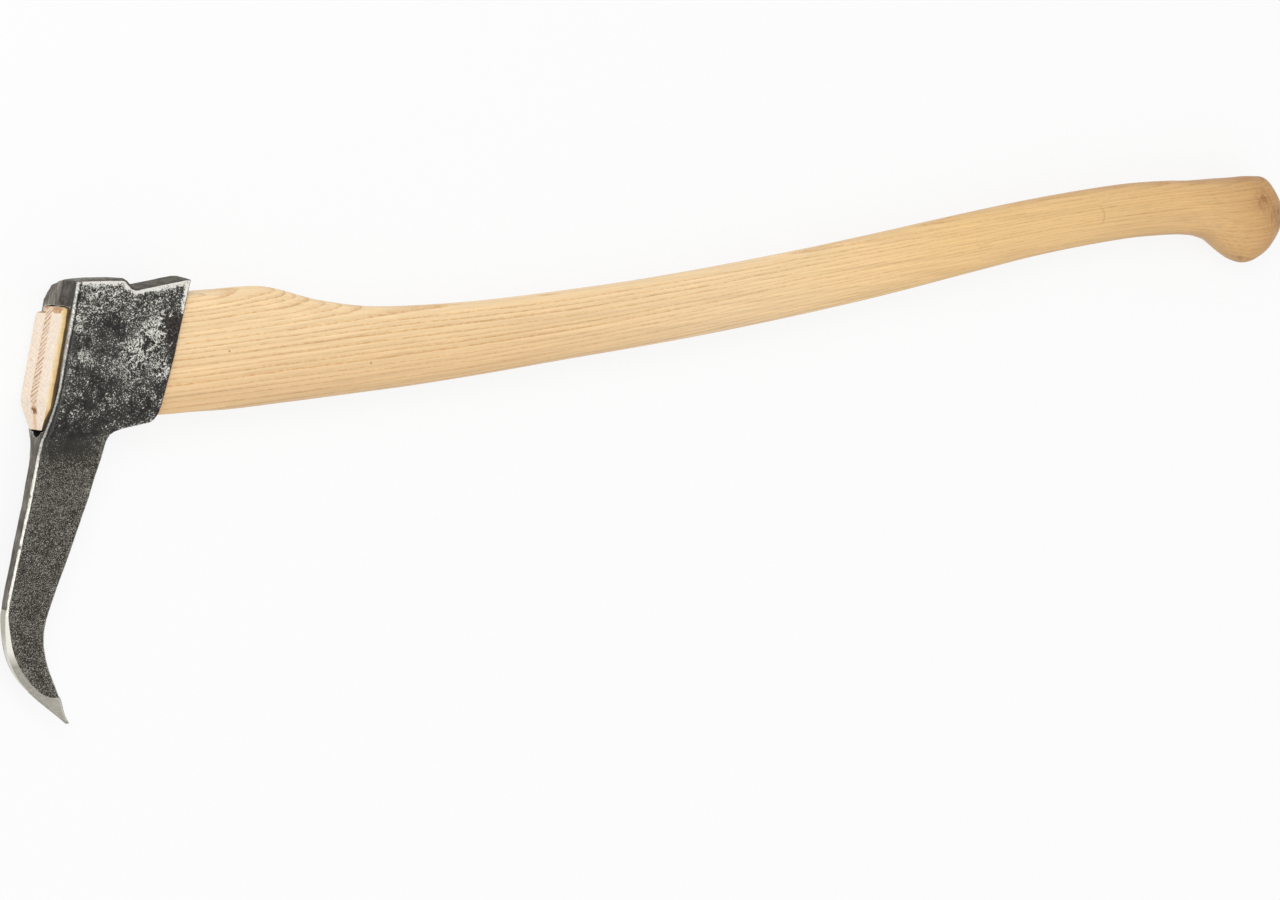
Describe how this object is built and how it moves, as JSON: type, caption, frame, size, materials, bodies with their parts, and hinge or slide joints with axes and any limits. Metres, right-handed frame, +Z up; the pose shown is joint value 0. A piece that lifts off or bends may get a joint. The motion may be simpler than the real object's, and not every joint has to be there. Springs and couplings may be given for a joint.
{
  "type": "log pick",
  "caption": "Long-handled log pick: a forged steel head with a tapered eye and a curved, ground beak on a curved ash handle with a knob, held by a wooden wedge.",
  "frame": {"origin": "on the floor, on the flat cheek that the tool lies on, under the middle of the eye", "axes": "+X along the eye's bore from the head to the knob, +Y towards the top of the head (the beak points to -Y), +Z up through the thickness of the tool, which lies on its side"},
  "size_m": [1.0361, 0.28, 0.04],
  "materials": {
    "forged_steel": "dark forged scale with bright worn edges and a ground point",
    "ash": "smooth, lightly oiled",
    "wedge_wood": "sawn end grain"
  },
  "bodies": {
    "root": {"steel_head": "forged_steel", "ash_handle": "ash", "wooden_wedge": "wedge_wood"}
  },
  "joints": []
}
